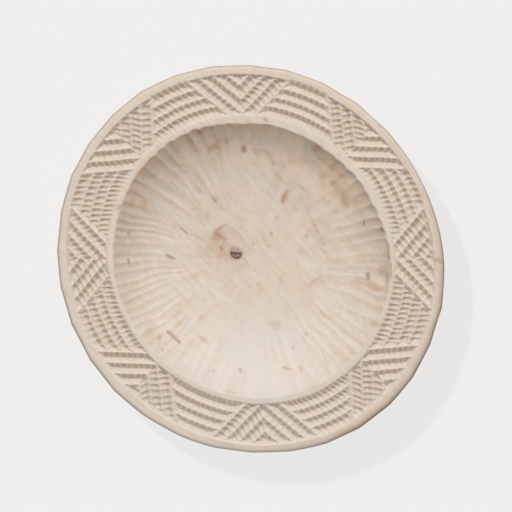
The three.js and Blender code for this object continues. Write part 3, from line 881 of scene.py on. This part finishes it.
def bowl_floor(finish):
    """The bowl's floor: from the middle of the knot's socket up its side, out over the floor on rings
    that slide from the knot's middle to the plate's, down the cut, and in along the foot. The socket's
    lining is darkest on the side toward the picture's bottom."""
    angle = round_turn(BOWL_COLUMNS)
    cosine, sine = np.cos(angle)[:, None], np.sin(angle)[:, None]
    to_round_x, to_round_y = MEAN_RADIUS / HALF_LENGTH, MEAN_RADIUS / HALF_WIDTH
    knot_x, knot_y = KNOT_X * to_round_x, KNOT_Y * to_round_y
    mouth_x = (KNOT_HALF_LENGTH + KNOT_GAP) * to_round_x
    mouth_y = (KNOT_HALF_WIDTH + KNOT_GAP) * to_round_y
    lining = 9
    shares = np.linspace(0, 1, lining)
    way = steps(0, 1, 1 / 104)
    growth = way ** 1.15
    slide = smooth(0, 1, way * 1.25)

    def ring(size_x, size_y, middle_x, middle_y):
        """Ovals about middles, one for each size."""
        return middle_x + size_x * cosine, middle_y + size_y * sine

    taper = KNOT_TAPER + (1 - KNOT_TAPER) * shares
    side_x, side_y = ring(mouth_x * taper, mouth_y * taper, knot_x, knot_y)
    size_x, size_y = mouth_x + (FLOOR_SEAM - mouth_x) * growth, mouth_y + (FLOOR_SEAM - mouth_y) * growth
    floor_x, floor_y = ring(size_x, size_y, knot_x * (1 - slide), knot_y * (1 - slide))
    lower = np.concatenate([np.full(len(CUT_STEPS) + 1, FLOOR_SEAM), [40, 12]])
    lower_x, lower_y = ring(lower, lower, 0, 0)
    floor_height = seen_top(np.hypot(floor_x, floor_y), np.arctan2(floor_y, floor_x))
    side_height = KNOT_BOTTOM - KNOT_GAP + (floor_height[:, :1] - KNOT_BOTTOM + KNOT_GAP) * shares
    lower_height = np.zeros(lower_x.shape)
    lower_height[:, :len(CUT_STEPS)] = across_cut(floor_height[:, -1:], 0)
    x = np.concatenate([side_x[:, :-1], floor_x, lower_x], axis=1)
    y = np.concatenate([side_y[:, :-1], floor_y, lower_y], axis=1)
    heights = np.concatenate([side_height[:, :-1], floor_height, lower_height], axis=1)
    row = np.arange(x.shape[1])
    in_socket, seam = row < lining - 1, lining - 2 + len(way)
    marks = mark_fields(np.hypot(x, y), np.arctan2(y, x), row <= seam)
    upward = UP_X * cosine + UP_Y * sine
    marks["brown"] = np.maximum(marks["brown"], in_socket * (0.45 - 0.35 * upward))
    marks = {
        label: np.concatenate([values.ravel(), [values[0, 0], values[0, -1]]])
        for label, values in marks.items()
    }
    hidden_row = (in_socket | (row >= seam))[:-1]
    middles = [[KNOT_X, KNOT_Y, side_height[0, 0]], [0, 0, 0]]
    return capped_piece("bowl_floor", *drawn_to_oval(x, y), heights, middles, hidden_row, finish, marks)


def knot_piece(finish):
    """The dead knot: a tapered oval plug. Its top is a low dome with growth rings, split along the
    grain, and the side below the split has sunk. `up` and `right` are the picture's, from its middle."""
    angle = round_turn(KNOT_COLUMNS)[:, None]
    top_rings, side_rings, base_shares = 33, 6, [0.6, 0.25]
    share = np.concatenate([np.linspace(0, 1, top_rings + 1)[1:], np.ones(side_rings), base_shares])
    level = np.concatenate([np.zeros(top_rings), np.linspace(0, 1, side_rings + 1)[1:], [1, 1]])
    size = share * (1 - (1 - KNOT_TAPER) * level)
    lower = smooth(-0.2, 0.8, -UP_X * np.cos(angle) - UP_Y * np.sin(angle))
    rough = 1 - 0.022 * lower * (1 + wander(angle / TURN * 13, 91, 13))
    across_x = KNOT_HALF_LENGTH * size * rough * np.cos(angle)
    across_y = KNOT_HALF_WIDTH * size * rough * np.sin(angle)
    up = UP_X * across_x + UP_Y * across_y
    right = RIGHT_X * across_x + RIGHT_Y * across_y
    rings = 0.05 * np.cos(share * 20 + 1.2 * patches(across_x, across_y, 2.5, 92))
    bend = up + 0.15 + 0.35 * np.sin(right * 0.8 + 0.9) + 0.12 * np.sin(right * 2.3)
    split = np.exp(-(bend / (0.62 - 0.06 * right)) ** 2) * (1 - smooth(3.2, 4.8, np.abs(right + 0.3)))
    sunk = 0.4 * smooth(0.2, -1.2, up) * (1 - 0.6 * smooth(0.2, 1.4, 1.4 - np.hypot(right - 1.3, up + 2)))
    low_side = smooth(3, -2, up)
    relief = rings - 0.6 * split - sunk - 0.2 * share ** 8 * low_side
    relief = relief + 0.12 * patches(across_x, across_y, 1.1, 93)
    top = level == 0
    height = np.where(top, KNOT_TOP - 0.05 + relief, KNOT_TOP + (KNOT_BOTTOM - KNOT_TOP) * level)
    height = np.minimum(height, KNOT_TOP)
    dark = 0.1 + 0.5 * smooth(1.6, -0.8, up) + 0.5 * split + 0.4 * share ** 4 * low_side
    dark = dark - 0.15 * smooth(3, 5.4, up) + 0.16 * patches(across_x, across_y, 1.3, 94)
    dark = dark + 0.12 * patches(across_x, across_y, 0.6, 95)
    spot = np.exp(-(((right - 1.4) / 0.9) ** 2 + ((up + 1.9) / 0.7) ** 2))
    dark = np.where(top, np.clip(np.clip(dark, 0, 1) - 0.45 * spot, 0, 1), 0.6)
    x, y = KNOT_X + across_x, KNOT_Y + across_y
    middles = [[KNOT_X, KNOT_Y, height[:, 0].mean()], [KNOT_X, KNOT_Y, KNOT_BOTTOM]]
    marks = {"dark": np.concatenate([dark.ravel(), [0.5, 0.8]])}
    hidden_row = np.zeros(len(share) - 1, bool)
    return capped_piece("knot_plug", x, y, height, middles, hidden_row, finish, marks)


# Finishes

SWAY_SCALE = 26.0
SWAY_REACH = 0.01


class Wire:
    """A number on its way through a material. Arithmetic on it adds Math nodes."""

    def __init__(self, finish, socket):
        self.finish = finish
        self.socket = socket

    def worked(self, operation, other):
        """A Math node on this number and another."""
        return self.finish.value("ShaderNodeMath", {"operation": operation}, {0: self, 1: other})

    def __add__(self, other):
        return self.worked("ADD", other)

    __radd__ = __add__

    def __mul__(self, other):
        return self.worked("MULTIPLY", other)

    __rmul__ = __mul__

    def at_most(self, other):
        """This number, or the other where that is lower."""
        return self.worked("MINIMUM", other)

    def eased(self, start, end):
        """0 up to start, 1 from end on, and a cubic ease between them."""
        settings = {"interpolation_type": "SMOOTHSTEP"}
        inputs = {"Value": self, "From Min": start, "From Max": end}
        return self.finish.value("ShaderNodeMapRange", settings, inputs)


class Finish:
    """The nodes of a material or of the sky, made one by one."""

    def __init__(self, owner):
        self.owner = owner
        owner.use_nodes = True
        self.tree = owner.node_tree
        self.tree.nodes.clear()
        self.sway = None

    def node(self, kind, settings, inputs):
        """Any node: its type, its settings, and the value or link of each socket by name or number. A
        colour is three numbers."""
        node = self.tree.nodes.new(kind)
        for label, value in settings.items():
            setattr(node, label, value)
        for label, value in inputs.items():
            socket = node.inputs[label]
            if isinstance(value, Wire):
                value = value.socket
            if isinstance(value, bpy.types.NodeSocket):
                self.tree.links.new(value, socket)
            else:
                socket.default_value = (*value, 1) if socket.type == "RGBA" else value
        return node

    def value(self, kind, settings, inputs, output=0):
        """A number that comes out of any node."""
        return Wire(self, self.node(kind, settings, inputs).outputs[output])

    def attribute(self, name):
        """One of the piece's own values at each point."""
        return self.value("ShaderNodeAttribute", {"attribute_name": name}, {}, "Fac")

    def swayed(self):
        """Object coordinates moved about by a smooth noise, by up to about half of the sway's reach."""
        coordinates = self.node("ShaderNodeTexCoord", {}, {}).outputs["Object"]
        inputs = {"Vector": coordinates, "Scale": SWAY_SCALE, "Detail": 2.0}
        noise = self.node("ShaderNodeTexNoise", {}, inputs)
        inputs = {0: noise.outputs["Color"], 1: (SWAY_REACH,) * 3, 2: coordinates}
        return self.node("ShaderNodeVectorMath", {"operation": "MULTIPLY_ADD"}, inputs).outputs[0]

    def noise(self, scale, detail, roughness):
        """Noise on swayed object coordinates, scaled along each axis, so that it runs with the grain."""
        if self.sway is None:
            self.sway = self.swayed()
        place = self.node("ShaderNodeMapping", {}, {"Vector": self.sway, "Scale": scale}).outputs[0]
        inputs = {"Vector": place, "Scale": 1.0, "Detail": detail, "Roughness": roughness}
        return self.value("ShaderNodeTexNoise", {"noise_dimensions": "3D"}, inputs, "Fac")

    def blend(self, factor, first, second):
        """Two colours through a Mix node: the first where the factor is 0, the second where it is 1."""
        node = self.node("ShaderNodeMix", {"data_type": "RGBA"}, {0: factor, 6: first, 7: second})
        return node.outputs[2]

    def layered(self, colour, layers):
        """A colour with others laid over it in turn, each where its own share is high."""
        for share, tint in layers:
            colour = self.blend(share, colour, tint)
        return colour

    def surfaced(self, colour, roughness, relief, distance, specular):
        """Ends the material: a plain surface with a fine relief."""
        bump = self.node("ShaderNodeBump", {}, {"Height": relief, "Distance": distance, "Strength": 1.0})
        inputs = {
            "Base Color": colour,
            "Roughness": roughness,
            "Normal": bump.outputs[0],
            "Specular IOR Level": specular,
        }
        shader = self.node("ShaderNodeBsdfPrincipled", {}, inputs)
        self.node("ShaderNodeOutputMaterial", {}, {"Surface": shader.outputs[0]})
        return self.owner


def bleached_wood():
    """Pale dry wood: streaks along the grain, clouds of tan and grey, stains, a darker edge line, painted
    shade in hollows, on slopes and at the edge, and painted light on the upper bowl wall and the low
    edge.
    """
    wood = Finish(bpy.data.materials.new("bleached_wood"))
    fine = wood.noise((170, 1000, 1000), 3, 0.6)
    bands = wood.noise((42, 300, 300), 3, 0.6)
    broad = wood.noise((16, 60, 60), 3, 0.5)
    clouds = wood.noise((34, 44, 44), 4, 0.6)
    specks = wood.noise((520, 800, 800), 2, 0.5)
    mottle = wood.noise((110, 160, 160), 4, 0.55).eased(0.3, 0.68)
    hollow, painted_shade, tan, brown, dark, pale, grey, honey_and_painted_light, edge = (
        wood.attribute(name)
        for name in ("hollow", "painted_shade", "tan", "brown", "dark", "pale", "grey", "honey_and_painted_light", "edge")
    )
    colour = wood.blend(bands.eased(0.32, 0.68), (0.614, 0.522, 0.43), (0.70, 0.607, 0.518))
    colour = wood.layered(colour, [
        # Pale fibres, greyer lower side, warm and grey clouds, honey colour and painted light on the
        # upper wall and low edge
        (0.7 * fine.eased(0.35, 0.7), (0.705, 0.622, 0.535)),
        (grey * (0.3 + clouds), (0.655, 0.605, 0.555)),
        (0.4 * broad.eased(0.42, 0.75), (0.70, 0.565, 0.44)),
        (0.32 * clouds.eased(0.52, 0.8), (0.60, 0.545, 0.48)),
        (honey_and_painted_light * clouds.eased(0.25, 0.62), (0.88, 0.71, 0.54)),
        # Tan stains with painted shade under the lip, painted shade on slopes and in hollows, specks of
        # dirt, edge darkened by a line and by painted shade
        (tan * (0.35 + 0.65 * mottle), (0.56, 0.38, 0.235)),
        # Painted shade on slopes that face the picture's bottom and on the rim toward the picture's top
        (0.47 * painted_shade, (0.50, 0.36, 0.245)),
        # Painted shade: the bottoms of grooves and chips are painted darker and warmer
        (0.3 * hollow.eased(0.3, 1.1), (0.46, 0.38, 0.305)),
        (specks.eased(0.66, 0.78) * (0.2 + 0.35 * hollow), (0.36, 0.24, 0.16)),
        (edge * (0.6 + 0.8 * broad), (0.36, 0.235, 0.145)),
        # Pale rubs, paler borders and painted light on the low edge, brown stains, dark stains
        (pale * (0.4 + fine), (0.80, 0.75, 0.69)),
        ((brown * (0.7 + 0.5 * mottle)).at_most(1), (0.415, 0.235, 0.148)),
        (dark.at_most(1), (0.25, 0.135, 0.08)),
    ])
    relief = 0.5 * fine + 0.6 * bands + 0.3 * specks
    return wood.surfaced(colour, 0.66 + 0.2 * clouds, relief, 0.00008, 0.25)


def knot_wood():
    """Dead knot: reddish brown above the split, darker below it, and darkest in it and at the seam."""
    knot = Finish(bpy.data.materials.new("knot_wood"))
    fibres = knot.noise((900, 1400, 1400), 4, 0.6)
    colour = knot.blend(fibres.eased(0.3, 0.7), (0.44, 0.31, 0.25), (0.57, 0.425, 0.345))
    colour = knot.layered(colour, [(knot.attribute("dark"), (0.10, 0.06, 0.045))])
    return knot.surfaced(colour, 0.75 + 0.15 * fibres, fibres, 0.0002, 0.2)


# Studio

PICTURE_TURN = math.radians(47.56)
VIEW_AIM = (0.00078, 0.00522)
VIEW_DISTANCE = 6.0
PICTURE_WIDTH = 0.42308
SENSOR_WIDTH = 36
FLOOR_REACH = 12.0
FLOOR_COLOUR = (0.871, 0.855, 0.847)
SHADOW_COLOUR = (0.815, 0.799, 0.791)
OPEN_SKY = 0.24
KEY_TURN = math.radians(3)
KEY_HEIGHT = math.radians(58)
KEY_SHARE = 0.76
FLOOR_LAMP_HEIGHT = math.radians(49)
FLOOR_LAMP_SHARE = 0.56


def sun(name, azimuth, height, level, size):
    """A distant lamp that gives a level surface `level` of full light, from a direction in the plate's
    own frame. Its size is in degrees."""
    lamp = bpy.data.lights.new(name, "SUN")
    lamp.energy = level * math.pi / math.sin(height)
    lamp.angle = math.radians(size)
    holder = placed(name, lamp)
    holder.rotation_euler = (0, math.pi / 2 - height, azimuth)
    return holder


def lit_only(holder, name, pieces):
    """Lets a lamp light only these pieces. What it lights may still be shaded by anything."""
    group = bpy.data.collections.new(name)
    for piece in pieces:
        group.objects.link(piece)
    holder.light_linking.receiver_collection = group


def mixed_for_eye(finish, others, eye, output):
    """Ends a set of nodes: one shader where the eye meets it straight or in a mirror, and another for
    light on its way."""
    path = finish.node("ShaderNodeLightPath", {}, {})
    camera_ray, glossy, through = (
        Wire(finish, path.outputs[label])
        for label in ("Is Camera Ray", "Is Glossy Ray", "Is Transmission Ray")
    )
    seen = (camera_ray + glossy + through).at_most(1)
    both = finish.node("ShaderNodeMixShader", {}, {0: seen, 1: others.outputs[0], 2: eye.outputs[0]})
    finish.node(output, {}, {"Surface": both.outputs[0]})


def pale_floor():
    """A plain pale floor. To the eye it is evenly pale, less what the plate's shadow takes off it."""
    mesh = bpy.data.meshes.new("floor")
    corners = [(x * FLOOR_REACH, y * FLOOR_REACH, 0) for x, y in ((-1, -1), (1, -1), (1, 1), (-1, 1))]
    mesh.from_pydata(corners, [], [(0, 1, 2, 3)])
    cover = Finish(bpy.data.materials.new("floor_paint"))
    own_share = (FLOOR_COLOUR[0] - SHADOW_COLOUR[0]) / FLOOR_LAMP_SHARE
    glow = tuple(value - own_share * (FLOOR_LAMP_SHARE + OPEN_SKY) for value in FLOOR_COLOUR)
    paint = cover.node("ShaderNodeBsdfDiffuse", {}, {"Color": (0.8, 0.79, 0.78)})
    shade = cover.node("ShaderNodeBsdfDiffuse", {}, {"Color": (own_share,) * 3})
    light = cover.node("ShaderNodeEmission", {}, {"Color": glow, "Strength": 1.0})
    seen = cover.node("ShaderNodeAddShader", {}, {0: shade.outputs[0], 1: light.outputs[0]})
    mixed_for_eye(cover, paint, seen, "ShaderNodeOutputMaterial")
    mesh.materials.append(cover.owner)
    floor = placed("floor", mesh)
    return floor


def studio(pieces):
    """Soft daylight: an even sky, a broad lamp from the picture's top for the plate, and a smaller one
    that lays the plate's faint shadow on the floor."""
    floor = pale_floor()
    key_azimuth = math.atan2(UP_Y, UP_X) - KEY_TURN
    key = sun("key_lamp", key_azimuth, KEY_HEIGHT, KEY_SHARE, 20)
    lit_only(key, "lit_by_key", pieces)
    floor_lamp = sun("floor_lamp", math.pi, FLOOR_LAMP_HEIGHT, FLOOR_LAMP_SHARE, 3)
    lit_only(floor_lamp, "lit_by_floor_lamp", [floor])

    sky = Finish(bpy.data.worlds.new("sky"))
    open_sky = sky.node("ShaderNodeBackground", {}, {"Color": (1, 1, 1), "Strength": OPEN_SKY})
    backdrop = sky.node("ShaderNodeBackground", {}, {"Color": FLOOR_COLOUR, "Strength": 1.0})
    mixed_for_eye(sky, open_sky, backdrop, "ShaderNodeOutputWorld")
    bpy.context.scene.world = sky.owner


def camera():
    """Looks straight down, with the plate's long axis turned down to the right in the picture."""
    lens = bpy.data.cameras.new("camera")
    lens.sensor_width = SENSOR_WIDTH
    lens.lens = SENSOR_WIDTH * (VIEW_DISTANCE - RIM_TOP * MM) / PICTURE_WIDTH
    lens.clip_end = 100
    holder = placed("camera", lens)
    holder.location = (*VIEW_AIM, VIEW_DISTANCE)
    holder.rotation_euler = (0, 0, PICTURE_TURN)
    bpy.context.scene.camera = holder


camera()
wood = bleached_wood()
body_pieces = [*rim_pieces(wood), bowl_wall(wood), bowl_floor(wood)]
knot = knot_piece(knot_wood())
for piece in body_pieces:
    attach(piece, "root")
    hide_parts("plate_body")
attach(knot, "root")
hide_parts("dead_knot")
studio([*body_pieces, knot])
bpy.context.scene.view_settings.view_transform = "Standard"
